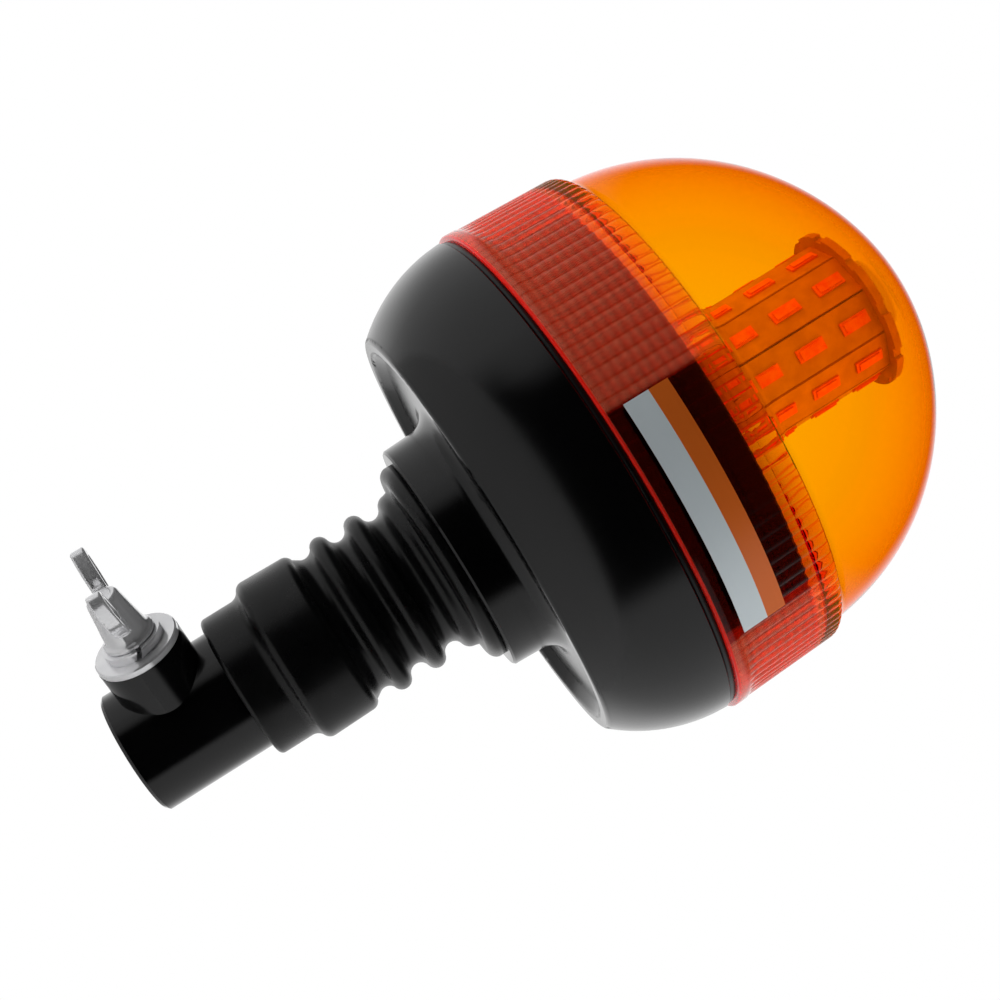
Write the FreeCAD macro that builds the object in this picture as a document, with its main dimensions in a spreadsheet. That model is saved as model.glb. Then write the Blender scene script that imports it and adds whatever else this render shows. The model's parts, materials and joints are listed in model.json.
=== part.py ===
"""Amber LED beacon on a flexible pole stem, as a parametric FreeCAD document.

The origin is the centre of the pole socket's mouth, +Z points up the beacon's axis to the top
of the dome, and the clamp screw points along -X. Lengths are in millimetres.
"""

import FreeCAD, Part
import math
import os

import Sketcher

SHEET = "sizes"

CELLS = {
    # steel socket tube
    "tube_radius": 15.25,
    "tube_length": 52.0,
    "socket_radius": 12.25,
    "socket_depth": 33.0,
    "relief_radius": 12.75,
    "seat_start": 36.0,
    "seat_radius": 11.6,
    # clamp screw
    "clamp_height": 14.7,
    "boss_radius": 10.4,
    "boss_face": 23.4,
    "bolt_radius": 4.0,
    "bolt_clearance": 0.05,
    "bolt_tip": 12.6,
    "washer_radius": 10.3,
    "washer_thickness": 1.6,
    "lock_radius": 7.3,
    "lock_thickness": 2.1,
    "lock_gap": 1.2,
    "lock_lean": 0.9,
    "hub_radius": 5.7,
    "hub_top_radius": 3.9,
    "hub_height": 12.8,
    "wing_reach": 13.0,
    "wing_height": 20.0,
    "wing_thickness": 3.6,
    "wing_recess": 0.9,
    # sprung centre contact and earth ring
    "block_radius": 11.55,
    "block_flange_radius": 15.0,
    "block_flange_top": 54.0,
    "guide_radius": 3.0,
    "guide_top": 42.0,
    "chamber_radius": 4.6,
    "plunger_radius": 2.95,
    "plunger_tip": 33.4,
    "plunger_collar_radius": 4.3,
    "plunger_collar": 2.0,
    "cap_bottom": 50.2,
    "cap_top": 53.4,
    "cap_bore": 0.7,
    "spring_wire": 0.6,
    "spring_turns": 4.0,
    "ring_inner_radius": 6.6,
    "ring_outer_radius": 11.2,
    "ring_thickness": 0.6,
    "rivet_circle": 9.0,
    "rivet_radius": 0.8,
    "rivet_head_radius": 1.5,
    "rivet_head_height": 0.7,
    "rivet_grip": 5.6,
    # rubber stem
    "boot_start": 28.5,
    "boot_bore": 15.35,
    "cuff_radius": 18.2,
    "sleeve_radius": 21.0,
    "sleeve_end": 52.0,
    "wave_start": 58.95,
    "wave_pitch": 9.4,
    "wave_crest": 20.7,
    "wave_groove": 17.0,
    "bead_radius": 26.0,
    "boot_end": 85.3,
    "boot_inside": 13.2,
    "boot_throat": 12.2,
    "insert_radius": 24.0,
    "insert_bore": 12.4,
    "insert_bottom": 82.7,
    # housing
    "neck_bottom": 85.4,
    "neck_radius": 29.5,
    "neck_floor": 3.6,
    "neck_inside": 26.0,
    "wire_hole": 8.0,
    "grommet_bore": 5.4,
    "grommet_lip": 1.6,
    "stem_screw_circle": 18.0,
    "recess_floor": 98.0,
    "recess_radius": 48.0,
    "rim_bottom": 95.5,
    "rim_radius": 54.2,
    "wall": 2.8,
    "lip_radius": 64.3,
    "lip_top": 122.0,
    "collar_radius": 60.3,
    "collar_inside": 57.8,
    "collar_top": 146.8,
    "post_radius": 4.2,
    "post_circle": 52.6,
    "plate_seat": 138.0,
    # gasket and lens
    "gasket_top": 123.4,
    "gasket_inner": 60.8,
    "gasket_outer": 63.7,
    "flange_radius": 65.2,
    "flange_top": 126.6,
    "lens_bore": 60.75,
    "band_low_radius": 64.9,
    "band_high_radius": 63.95,
    "band_top": 151.2,
    "step_height": 148.6,
    "dome_wall": 2.5,
    "dome_centre": 149.5,
    "dome_radius": 61.38,
    "dome_rise": 62.64,
    "dome_foot_angle": 3.3,
    "dome_side_power": 1.097,
    "dome_rise_power": 0.968,
    "flute_depth": 0.45,
    "crown_flat": 211.25,
    # electronics
    "plate_radius": 57.3,
    "plate_thickness": 2.5,
    "board_radius": 46.0,
    "board_bottom": 142.5,
    "board_thickness": 1.6,
    "board_screw_circle": 40.0,
    "component_circle": 31.0,
    "tower_corner": 18.3,
    "tower_top": 199.8,
    "strip_thickness": 1.0,
    "strip_width": 10.6,
    "first_led": 157.1,
    "led_pitch": 12.37,
    "led_length": 7.4,
    "led_width": 3.2,
    "led_height": 0.9,
    "tower_bore": 12.5,
    "disc_radius": 20.9,
    "disc_thickness": 2.0,
    "lead_radius": 1.1,
    "lead_spacing": 4.0,
}

STRIPS = 10
LEDS_PER_STRIP = 4
FIRST_STRIP_ANGLE = 33.0
RING_RIVETS = 2
STEM_SCREWS = 4
PLATE_SCREWS = 4
BOARD_SCREWS = 3
HOUSING_RIBS = 8
# shank radius, head radius and head height of each kind of screw
STEM_SCREW = (2.0, 3.6, 2.4)
PLATE_SCREW = (1.5, 2.9, 1.9)
BOARD_SCREW = (1.25, 2.6, 1.6)
FLUTES = 120

doc = FreeCAD.newDocument("beacon")
sheet = doc.addObject("Spreadsheet::Sheet", SHEET)
for row, (alias, value) in enumerate(CELLS.items(), start=1):
    sheet.set(f"A{row}", alias.replace("_", " "))
    sheet.set(f"B{row}", str(value))
    sheet.setAlias(f"B{row}", alias)
doc.recompute()


class Size:
    """A length that carries its value and the spreadsheet expression that gives it."""

    def __init__(self, value, text):
        self.value = value
        self.text = text

    def __add__(self, other):
        other = as_size(other)
        return Size(self.value + other.value, f"({self.text} + {other.text})")

    def __sub__(self, other):
        other = as_size(other)
        return Size(self.value - other.value, f"({self.text} - {other.text})")

    def __mul__(self, factor):
        return Size(self.value * factor, f"({self.text} * {factor:.9g})")


def as_size(number):
    if isinstance(number, Size):
        return number
    return Size(float(number), f"{number:.9g} mm")


def cell(alias):
    return Size(CELLS[alias], f"{SHEET}.{alias} * 1 mm")


def bind(feature, prop, size):
    """Sets a property to a size and ties it to the spreadsheet."""
    size = as_size(size)
    setattr(feature, prop, size.value)
    feature.setExpression(prop, size.text)


def new_body(name):
    body = doc.addObject("PartDesign::Body", name)
    body.Label = name
    return body


def new_sketch(body, role, name, height=None):
    """A sketch on one of the body's own origin planes, raised along its normal by a size."""
    sketch = body.newObject("Sketcher::SketchObject", name)
    planes = [f for f in body.Origin.OriginFeatures if f.Role == role]
    sketch.AttachmentSupport = [(planes[0], "")]
    sketch.MapMode = "FlatFace"
    if height is not None:
        height = as_size(height)
        sketch.AttachmentOffset = FreeCAD.Placement(
            FreeCAD.Vector(0, 0, height.value), FreeCAD.Rotation()
        )
        sketch.setExpression("AttachmentOffset.Base.z", height.text)
    return sketch


def pins(geometry, point, x, y):
    """Constraints that hold a sketch point at bound distances from the sketch's origin."""
    made = []
    for kind, size, axis in (("DistanceX", as_size(x), -2), ("DistanceY", as_size(y), -1)):
        if abs(size.value) < 1e-9:
            made.append((Sketcher.Constraint("PointOnObject", geometry, point, axis), None))
        else:
            held = Sketcher.Constraint(kind, -1, 1, geometry, point, size.value)
            made.append((held, size.text))
    return made


def constrain(sketch, made):
    """Adds constraints together, then ties each dimension to its expression."""
    first = sketch.ConstraintCount
    sketch.addConstraint([constraint for constraint, _ in made])
    for index, (_, text) in enumerate(made, start=first):
        if text is not None:
            sketch.setExpression(f"Constraints[{index}]", text)


def circle(sketch, x, y, radius):
    x, y, radius = as_size(x), as_size(y), as_size(radius)
    geometry = sketch.addGeometry(
        Part.Circle(FreeCAD.Vector(x.value, y.value, 0), FreeCAD.Vector(0, 0, 1), radius.value)
    )
    size = (Sketcher.Constraint("Radius", geometry, radius.value), radius.text)
    constrain(sketch, [*pins(geometry, 3, x, y), size])


def arc_through(start, end, bulge):
    """The arc from start to end whose middle stands off the chord to the right by bulge."""
    chord = end - start
    side = FreeCAD.Vector(chord.y, -chord.x, 0).normalize()
    return Part.Arc(start, (start + end) * 0.5 + side * bulge, end)


def outline(sketch, corners):
    """A closed outline. A corner is (x, y), or (x, y, bulge) where an arc leads on from it.

    Every corner is pinned to its sizes; a bulge is how far the arc stands out to the right
    of the chord between its pinned ends.
    """
    points = [(as_size(c[0]), as_size(c[1])) for c in corners]
    vectors = [FreeCAD.Vector(x.value, y.value, 0) for x, y in points]
    edges = []
    for corner, start, end in zip(corners, vectors, vectors[1:] + vectors[:1]):
        if len(corner) == 3:
            edges.append(arc_through(start, end, corner[2]))
        else:
            edges.append(Part.LineSegment(start, end))
    sketch.addGeometry(edges)
    made = []
    for i, point in enumerate(points):
        before, start_point = i - 1 if i else len(points) - 1, 1
        end_point = 2
        if clockwise(corners[i]):
            start_point = 2
        if clockwise(corners[i - 1]):
            end_point = 1
        made.append(
            (Sketcher.Constraint("Coincident", before, end_point, i, start_point), None)
        )
        made.extend(pins(i, start_point, *point))
    constrain(sketch, made)


def clockwise(corner):
    """True where the arc that leads on from a corner runs clockwise, so a sketch turns it."""
    return len(corner) == 3 and corner[2] < 0


def revolve(body, sketch, name="Turned"):
    feature = body.newObject("PartDesign::Revolution", name)
    feature.Profile = sketch
    feature.ReferenceAxis = (sketch, ["V_Axis"])
    feature.Angle = 360.0
    body.Tip = feature
    return feature


def pad(body, sketch, length, name="Pad", midplane=False):
    feature = body.newObject("PartDesign::Pad", name)
    feature.Profile = sketch
    feature.Midplane = midplane
    bind(feature, "Length", length)
    body.Tip = feature
    return feature


def pocket(body, sketch, length, name="Pocket", upward=False, midplane=False):
    """Cuts a sketch away downward, or upward, and checks that material was removed."""
    doc.recompute()
    before = body.Shape.Volume
    feature = body.newObject("PartDesign::Pocket", name)
    feature.Profile = sketch
    feature.Midplane = midplane
    feature.Reversed = upward
    bind(feature, "Length", length)
    body.Tip = feature
    doc.recompute()
    if body.Shape.Volume >= before - 1e-6:
        raise RuntimeError(f"{name} in {body.Label} cuts nothing")
    return feature


def around(body, feature, count, name="Around"):
    """Repeats a feature about the body's Z axis."""
    pattern = body.newObject("PartDesign::PolarPattern", name)
    pattern.Originals = [feature]
    pattern.Axis = ([f for f in body.Origin.OriginFeatures if f.Role == "Z_Axis"][0], [""])
    pattern.Angle = 360.0
    pattern.Occurrences = count
    body.Tip = pattern
    doc.recompute()
    return pattern


def turned_body(name, corners):
    """A body turned about Z from one closed outline in the XZ plane."""
    body = new_body(name)
    sketch = new_sketch(body, "XZ_Plane", f"{name}_outline")
    outline(sketch, corners)
    revolve(body, sketch)
    return body


def ring_corners(inner, outer, bottom, top):
    return [(inner, bottom), (outer, bottom), (outer, top), (inner, top)]


def on_edges(body, kind, size, near, name):
    """Rounds or chamfers the edges of the body's tip that a test function picks."""
    doc.recompute()
    base = body.Tip
    edges = [f"Edge{i}" for i, e in enumerate(base.Shape.Edges, start=1) if near(e)]
    if not edges:
        raise RuntimeError(f"{name} in {body.Label} finds no edge")
    feature = body.newObject(f"PartDesign::{kind}", name)
    feature.Base = (base, edges)
    bind(feature, "Radius" if kind == "Fillet" else "Size", size)
    body.Tip = feature
    return feature


def polar(radius, angle, height=0.0):
    turn = math.radians(angle)
    return FreeCAD.Vector(radius * math.cos(turn), radius * math.sin(turn), height)


def place(obj, position, axis=FreeCAD.Vector(0, 0, 1), angle=0.0):
    obj.Placement = FreeCAD.Placement(position, FreeCAD.Rotation(axis, angle))


def shape_feature(name, shape):
    """A sub-part whose shape is put together from several solids."""
    feature = doc.addObject("Part::Feature", name)
    feature.Label = name
    feature.Shape = shape
    return feature


def screw_shape(kind, shank_length):
    """A pan-head screw with its head's underside at the origin and its shank pointing down."""
    shank_radius, head_radius, head_height = kind
    shank = Part.makeCylinder(
        shank_radius, shank_length, FreeCAD.Vector(0, 0, -shank_length), FreeCAD.Vector(0, 0, 1)
    )
    head = Part.makeCylinder(head_radius, head_height)
    slot_width = head_radius * 0.28
    slot = Part.makeBox(
        head_radius * 1.3,
        slot_width,
        head_height,
        FreeCAD.Vector(-head_radius * 0.65, -slot_width / 2, head_height * 0.5),
    )
    head = head.cut(slot)
    slot.rotate(FreeCAD.Vector(0, 0, 0), FreeCAD.Vector(0, 0, 1), 90)
    head = head.cut(slot)
    top_edges = [e for e in head.Edges if is_round(e, head_radius, head_height)]
    return head.makeChamfer(head_height * 0.3, top_edges).fuse(shank).removeSplitter()


def is_round(edge, radius, height):
    """True for a circular edge about Z of that radius at that height."""
    curve = edge.Curve
    return (
        isinstance(curve, Part.Circle)
        and abs(curve.Radius - radius) < 1e-4
        and abs(curve.Center.z - height) < 1e-4
    )


def ring_of(shape, count, radius, height, first_angle=0.0):
    """Copies of a shape, evenly spaced on a circle about Z."""
    copies = []
    for i in range(count):
        copy = shape.copy()
        copy.translate(polar(radius, first_angle + i * 360.0 / count, height))
        copies.append(copy)
    return Part.makeCompound(copies)


# ---------------------------------------------------------------- steel socket and clamp screw


def make_mount_tube():
    """Turned steel tube: pole socket below, a relief groove, and a narrower contact seat above."""
    outer, length = cell("tube_radius"), cell("tube_length")
    socket, relief, seat = cell("socket_radius"), cell("relief_radius"), cell("seat_radius")
    depth, seat_start = cell("socket_depth"), cell("seat_start")
    edge = 0.8
    body = turned_body(
        "mount_tube",
        [
            (socket, 0),
            (outer - edge, 0),
            (outer, edge),
            (outer, length - edge),
            (outer - edge, length),
            (seat, length),
            (seat, seat_start),
            (relief, seat_start),
            (relief, depth),
            (socket, depth),
        ],
    )
    sketch = new_sketch(body, "YZ_Plane", "bolt_hole_outline")
    circle(sketch, 0, cell("clamp_height"), cell("bolt_radius") + cell("bolt_clearance"))
    pocket(body, sketch, outer + 1, "bolt_hole")
    return body


def make_clamp_boss():
    """Round boss welded on the tube's side, saddled to the tube and bored for the screw."""
    along = FreeCAD.Rotation(FreeCAD.Vector(0, 1, 0), -90)
    height = CELLS["clamp_height"]
    blank = doc.addObject("Part::Cylinder", "boss_blank")
    bind(blank, "Radius", cell("boss_radius"))
    bind(blank, "Height", cell("boss_face"))
    hole = doc.addObject("Part::Cylinder", "boss_hole")
    bind(hole, "Radius", cell("bolt_radius") + cell("bolt_clearance"))
    bind(hole, "Height", cell("boss_face") + 1)
    for piece in (blank, hole):
        piece.Placement = FreeCAD.Placement(FreeCAD.Vector(0, 0, height), along)
        piece.setExpression("Placement.Base.z", cell("clamp_height").text)
    core = doc.addObject("Part::Cylinder", "boss_core")
    bind(core, "Radius", cell("tube_radius"))
    bind(core, "Height", cell("tube_length"))
    saddle = doc.addObject("Part::Cut", "boss_saddle")
    saddle.Base, saddle.Tool = blank, core
    boss = doc.addObject("Part::Cut", "clamp_boss")
    boss.Base, boss.Tool = saddle, hole
    boss.Label = "clamp_boss"
    return boss


CLAMP_TURN = (FreeCAD.Vector(0, 1, 0), -90)


def on_clamp(body, distance):
    """Turns a body made about +Z to lie along the clamp screw's axis, out from the tube."""
    place(body, FreeCAD.Vector(-distance, 0, CELLS["clamp_height"]), *CLAMP_TURN)


def make_flat_washer():
    body = turned_body(
        "flat_washer",
        ring_corners(
            cell("bolt_radius") + 0.35, cell("washer_radius"), 0, cell("washer_thickness")
        ),
    )
    on_edges(body, "Chamfer", 0.3, lambda e: is_round(e, CELLS["washer_radius"], 1.6), "edge")
    on_clamp(body, CELLS["boss_face"])
    return body


def make_spring_washer():
    """Split lock washer: one coil of square wire with a gap cut across it."""
    body = turned_body(
        "spring_washer",
        ring_corners(cell("bolt_radius") + 0.2, cell("lock_radius"), 0, cell("lock_thickness")),
    )
    sketch = new_sketch(body, "XZ_Plane", "split_outline")
    lean, width = CELLS["lock_lean"], CELLS["lock_gap"]
    thickness = cell("lock_thickness")
    outline(
        sketch,
        [(-lean, -0.1), (width - lean, -0.1), (lean + width / 2, thickness + 0.1),
         (lean - width / 2, thickness + 0.1)],
    )
    pocket(body, sketch, cell("lock_radius") + 1, "split", upward=True)
    on_clamp(body, CELLS["boss_face"] + CELLS["washer_thickness"])
    return body


def make_wing_bolt():
    """Die-cast wing screw: plain shank, tapered hub with a flange foot, and two rimmed wings."""
    body = new_body("wing_bolt")
    seat = cell("boss_face") + cell("washer_thickness") + cell("lock_thickness")
    shank_length = seat - cell("bolt_tip")
    hub, top, height = cell("hub_radius"), cell("hub_top_radius"), cell("hub_height")
    bolt = cell("bolt_radius")
    tip = 1.0
    sketch = new_sketch(body, "XZ_Plane", "hub_outline")
    outline(
        sketch,
        [
            (0, shank_length * -1),
            (bolt - tip, shank_length * -1),
            (bolt, shank_length * -1 + tip),
            (bolt, 0),
            (hub + 0.6, 0),
            (hub + 0.6, 1.2, -0.3),
            (hub - 0.4, 2.4),
            (top, height - 0.6),
            (top - 0.6, height),
            (0, height),
        ],
    )
    revolve(body, sketch, "hub")
    reach, rise = cell("wing_reach"), cell("wing_height")
    wings = new_sketch(body, "YZ_Plane", "wing_outline")
    outline(
        wings,
        [
            (hub * -0.45, 3.4),
            (hub * 0.45, 3.4),
            (6.6, 5.0, 0.6),
            (reach - 1.2, rise * 0.62, 0.5),
            (reach, rise - 1.8, 1.1),
            (reach - 3.4, rise - 0.8, 0.9),
            (4.8, height - 2.0, -1.0),
            (top - 0.9, height - 0.9),
            (top * -1 + 0.9, height - 0.9, -1.0),
            (-4.8, height - 2.0, 0.9),
            (reach * -1 + 3.4, rise - 0.8, 1.1),
            (reach * -1, rise - 1.8, 0.5),
            (reach * -1 + 1.2, rise * 0.62, 0.6),
            (-6.6, 5.0),
        ],
    )
    thickness = cell("wing_thickness")
    pad(body, wings, thickness, "wings", midplane=True)
    for side in (-1, 1):
        for face in (-1, 1):
            name = f"wing_recess_{'left' if side < 0 else 'right'}_{'back' if face < 0 else 'front'}"
            panel = new_sketch(body, "YZ_Plane", f"{name}_outline", thickness * (face / 2))
            outline(
                panel,
                [
                    (reach * (0.58 * side), rise * 0.46),
                    (reach * (0.82 * side), rise * 0.65),
                    (reach * (0.89 * side), rise * 0.86),
                    (reach * (0.79 * side), rise * 0.87),
                    (reach * (0.53 * side), rise * 0.58),
                ][::side],
            )
            pocket(body, panel, cell("wing_recess"), name, upward=face < 0)
    on_clamp(body, seat.value)
    return body


# ---------------------------------------------------------------- contact block in the socket


def make_contact_block():
    """Moulded insulator in the tube's seat, with the plunger's guide and its spring chamber."""
    block, flange = cell("block_radius"), cell("block_flange_radius")
    ring_top = cell("seat_start") + cell("ring_thickness")
    body = turned_body(
        "contact_block",
        [
            (cell("guide_radius"), ring_top),
            (block, ring_top),
            (block, cell("tube_length")),
            (flange, cell("tube_length")),
            (flange, cell("block_flange_top")),
            (cell("chamber_radius"), cell("block_flange_top")),
            (cell("chamber_radius"), cell("guide_top")),
            (cell("guide_radius"), cell("guide_top")),
        ],
    )
    sketch = new_sketch(body, "XY_Plane", "rivet_hole_outline", ring_top)
    circle(sketch, cell("rivet_circle"), 0, cell("rivet_radius") + 0.05)
    hole = pocket(body, sketch, cell("rivet_grip") + 0.4, "rivet_hole", upward=True)
    around(body, hole, RING_RIVETS)
    return body


def make_ground_ring():
    """Brass ring under the block that the pole's rim meets: the earth contact."""
    body = turned_body(
        "ground_ring",
        ring_corners(
            cell("ring_inner_radius"),
            cell("ring_outer_radius"),
            cell("seat_start"),
            cell("seat_start") + cell("ring_thickness"),
        ),
    )
    sketch = new_sketch(body, "XY_Plane", "ring_hole_outline", cell("seat_start"))
    circle(sketch, cell("rivet_circle"), 0, cell("rivet_radius") + 0.05)
    hole = pocket(body, sketch, cell("ring_thickness") + 1, "ring_hole", upward=True)
    around(body, hole, RING_RIVETS)
    return body


def make_ring_rivets():
    """Two brass rivets that hold the ring to the block."""
    head_height = CELLS["rivet_head_height"]
    shank = Part.makeCylinder(
        CELLS["rivet_radius"], CELLS["rivet_grip"] + CELLS["ring_thickness"]
    )
    head = Part.makeCone(
        CELLS["rivet_head_radius"] * 0.7,
        CELLS["rivet_head_radius"],
        head_height,
        FreeCAD.Vector(0, 0, -head_height),
    )
    rivet = head.fuse(shank).removeSplitter()
    rivets = ring_of(rivet, RING_RIVETS, CELLS["rivet_circle"], CELLS["seat_start"])
    return shape_feature("ring_rivets", rivets)


def make_contact_plunger():
    """Brass centre contact with a domed tip, carried on a collar in the chamber."""
    stem, collar = cell("plunger_radius"), cell("plunger_collar_radius")
    top = cell("guide_top") + cell("plunger_collar")
    return turned_body(
        "contact_plunger",
        [
            (0, cell("plunger_tip"), 0.35),
            (stem, cell("plunger_tip") + 1.5),
            (stem, cell("guide_top")),
            (collar, cell("guide_top")),
            (collar, top),
            (1.6, top),
            (1.6, top + 1.4),
            (0, top + 1.4),
        ],
    )


def make_contact_spring():
    """Coil spring between the plunger's collar and the cap: six-sided wire in short runs."""
    wire, mean = CELLS["spring_wire"] / 2, CELLS["guide_radius"] + 0.45
    runs_per_turn, sides, gap = 10, 6, 0.04
    bottom = CELLS["guide_top"] + CELLS["plunger_collar"] + wire + gap
    height = CELLS["cap_bottom"] - wire - gap - bottom
    runs = int(CELLS["spring_turns"] * runs_per_turn)
    sections = []
    for i in range(runs + 1):
        turn = i * 360.0 / runs_per_turn
        centre = bottom + height * i / runs
        ring = []
        for k in range(sides + 1):
            around_wire = 2 * math.pi * k / sides
            ring.append(
                polar(mean + wire * math.cos(around_wire), turn,
                      centre + wire * math.sin(around_wire))
            )
        sections.append(Part.makePolygon(ring))
    return shape_feature("contact_spring", Part.makeLoft(sections, True, True))


def make_contact_cap():
    """Screwed plug that closes the spring chamber and lets the supply lead out."""
    return turned_body(
        "contact_cap",
        ring_corners(
            cell("cap_bore"), cell("chamber_radius") - 0.05, cell("cap_bottom"), cell("cap_top")
        ),
    )


# ---------------------------------------------------------------- rubber stem


def wave_corners(waves):
    """The bellows: equal arcs, out and in by turns, that meet at the middle radius."""
    middle = (cell("wave_crest") + cell("wave_groove")) * 0.5
    bulge = (CELLS["wave_crest"] - CELLS["wave_groove"]) / 2
    start, half = cell("wave_start"), cell("wave_pitch") * 0.5
    return [
        (middle, start + half * i, bulge if i % 2 == 0 else -bulge) for i in range(2 * waves)
    ]


def make_stem_boot():
    """Moulded rubber stem: cuff and sleeve over the tube, three bellows ribs, and a top bead."""
    cuff, sleeve, bead = cell("cuff_radius"), cell("sleeve_radius"), cell("bead_radius")
    bore, start, end = cell("boot_bore"), cell("boot_start"), cell("boot_end")
    sleeve_end = cell("sleeve_end")
    insert, throat = cell("insert_radius") + 0.1, cell("boot_throat")
    inside, floor = cell("boot_inside"), cell("insert_bottom")
    pitch = cell("wave_pitch")
    middle = (cell("wave_crest") + cell("wave_groove")) * 0.5
    last_wave = cell("wave_start") + pitch * 2
    last_crest = last_wave + pitch * 0.25
    return turned_body(
        "stem_boot",
        [
            (bore, start),
            (cuff - 0.9, start, 0.25),
            (cuff, start + 1.2),
            (cuff, start + 8.5, -0.35),
            (cuff + 1.4, start + 10.8, 0.35),
            (sleeve, start + 12.8),
            (sleeve - 0.25, sleeve_end, 0.45),
            (sleeve - 1.9, sleeve_end + 2.2),
            (cuff - 0.2, sleeve_end + 3.9, -0.6),
            *wave_corners(2),
            (middle, last_wave, 0.45),
            (cell("wave_crest"), last_crest),
            (cell("wave_crest") + 0.3, last_crest + 1.1, -0.15),
            (bead - 2.6, last_crest + 1.6, 0.6),
            (bead, end - 1.6),
            (bead, end),
            (insert, end),
            (insert, floor),
            (throat, floor),
            (throat, floor - 2.4),
            (inside, floor - 3.8),
            (inside, sleeve_end + 5.4),
            (bore, sleeve_end + 3.0),
        ],
    )


def make_stem_insert():
    """Steel ring in the boot's top bead, tapped for the four screws from inside the housing."""
    body = turned_body(
        "stem_insert",
        ring_corners(
            cell("insert_bore"), cell("insert_radius"), cell("insert_bottom") + 0.05,
            cell("neck_bottom"),
        ),
    )
    sketch = new_sketch(body, "XY_Plane", "tapped_hole_outline", cell("neck_bottom"))
    circle(sketch, cell("stem_screw_circle"), 0, STEM_SCREW[0] + 0.05)
    around(body, pocket(body, sketch, 3.0, "tapped_hole"), STEM_SCREWS)
    return body


def make_stem_screws():
    floor = CELLS["neck_bottom"] + CELLS["neck_floor"]
    screw = screw_shape(STEM_SCREW, floor - CELLS["insert_bottom"] - 0.2)
    return shape_feature(
        "stem_screws", ring_of(screw, STEM_SCREWS, CELLS["stem_screw_circle"], floor)
    )


def make_supply_leads():
    """The supply and earth leads, from the contact block up the stem to the driver board."""
    leads = []
    bottom = CELLS["block_flange_top"]
    spacing = CELLS["lead_spacing"]
    for name, x in (("supply_lead", -spacing), ("earth_lead", spacing)):
        lead = doc.addObject("Part::Cylinder", name)
        lead.Label = name
        bind(lead, "Radius", cell("lead_radius"))
        bind(lead, "Height", cell("board_bottom") - cell("block_flange_top"))
        place(lead, FreeCAD.Vector(x, 0, bottom))
        lead.setExpression("Placement.Base.z", cell("block_flange_top").text)
        leads.append(lead)
    return leads


def make_wire_grommet():
    """Rubber grommet in the neck floor that the leads pass through."""
    hole, floor = cell("wire_hole"), cell("neck_bottom") + cell("neck_floor")
    bottom, bore, lip = cell("neck_bottom"), cell("grommet_bore"), cell("grommet_lip")
    return turned_body(
        "wire_grommet",
        [
            (bore, bottom - lip),
            (hole + lip, bottom - lip),
            (hole + lip, bottom),
            (hole, bottom),
            (hole, floor),
            (hole + lip, floor),
            (hole + lip, floor + lip),
            (bore, floor + lip),
        ],
    )


# ---------------------------------------------------------------- housing


def make_base_housing():
    """Moulded bowl: neck, recessed underside, rounded wall, and the collar the lens screws on."""
    bottom, neck = cell("neck_bottom"), cell("neck_radius")
    floor = bottom + cell("neck_floor")
    recess, recess_radius = cell("recess_floor"), cell("recess_radius")
    wall, rim = cell("wall"), cell("rim_radius")
    lip, lip_top = cell("lip_radius"), cell("lip_top")
    collar, collar_inside = cell("collar_radius"), cell("collar_inside")
    wall_bulge = 2.3
    body = turned_body(
        "base_housing",
        [
            (cell("wire_hole"), bottom),
            (neck - 0.5, bottom),
            (neck, bottom + 0.5),
            (neck + 0.3, recess - 5.0, -1.5),
            (neck + 5.3, recess),
            (recess_radius, recess),
            (recess_radius + 1.6, cell("rim_bottom") + 0.6, 0.15),
            (recess_radius + 2.8, cell("rim_bottom")),
            (rim - 1.8, cell("rim_bottom"), 0.3),
            (rim, cell("rim_bottom") + 0.9, wall_bulge),
            (lip, lip_top - 0.4),
            (lip - 0.4, lip_top),
            (collar, lip_top),
            (collar, cell("collar_top") - 0.6),
            (collar - 0.6, cell("collar_top")),
            (collar_inside, cell("collar_top")),
            (collar_inside, lip_top - 6.0, -wall_bulge * 0.55),
            (rim - 2.2, recess + wall + 1.2),
            (rim - 3.6, recess + wall),
            (cell("neck_inside"), recess + wall),
            (cell("neck_inside"), floor),
            (cell("wire_hole"), floor),
        ],
    )
    holes = new_sketch(body, "XY_Plane", "screw_hole_outline", floor)
    circle(holes, cell("stem_screw_circle"), 0, STEM_SCREW[0] + 0.3)
    around(body, pocket(body, holes, cell("neck_floor") + 1, "screw_hole"), STEM_SCREWS)
    posts = new_sketch(body, "XY_Plane", "post_outline", recess + wall - 0.5)
    circle(posts, cell("post_circle"), 0, cell("post_radius"))
    post_height = cell("plate_seat") - recess - wall + 0.5
    post = pad(body, posts, post_height, "post")
    around(body, post, PLATE_SCREWS, "posts")
    pilots = new_sketch(body, "XY_Plane", "pilot_outline", cell("plate_seat"))
    circle(pilots, cell("post_circle"), 0, PLATE_SCREW[0] + 0.05)
    around(body, pocket(body, pilots, 12.0, "pilot"), PLATE_SCREWS, "pilots")
    ribs = new_sketch(body, "XZ_Plane", "rib_outline")
    outline(
        ribs,
        [
            (cell("neck_inside") - 0.5, recess + wall - 0.5),
            (rim - 3.0, recess + wall - 0.5),
            (rim - 3.0, recess + wall + 4.0),
            (cell("neck_inside") + 6.0, recess + wall + 4.0),
            (cell("neck_inside") - 0.5, floor + 1.0),
        ],
    )
    rib = pad(body, ribs, 2.0, "rib", midplane=True)
    around(body, rib, HOUSING_RIBS, "ribs")
    return body


# ---------------------------------------------------------------- gasket and lens


def make_lens_gasket():
    """Rubber ring under the lens flange, with a rounded sealing bead."""
    inner, outer = cell("gasket_inner"), cell("gasket_outer")
    bottom, top = cell("lip_top") + 0.02, cell("gasket_top")
    return turned_body(
        "lens_gasket",
        [(inner, bottom), (outer, bottom, 0.25), (outer, top), (inner, top)],
    )


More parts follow.
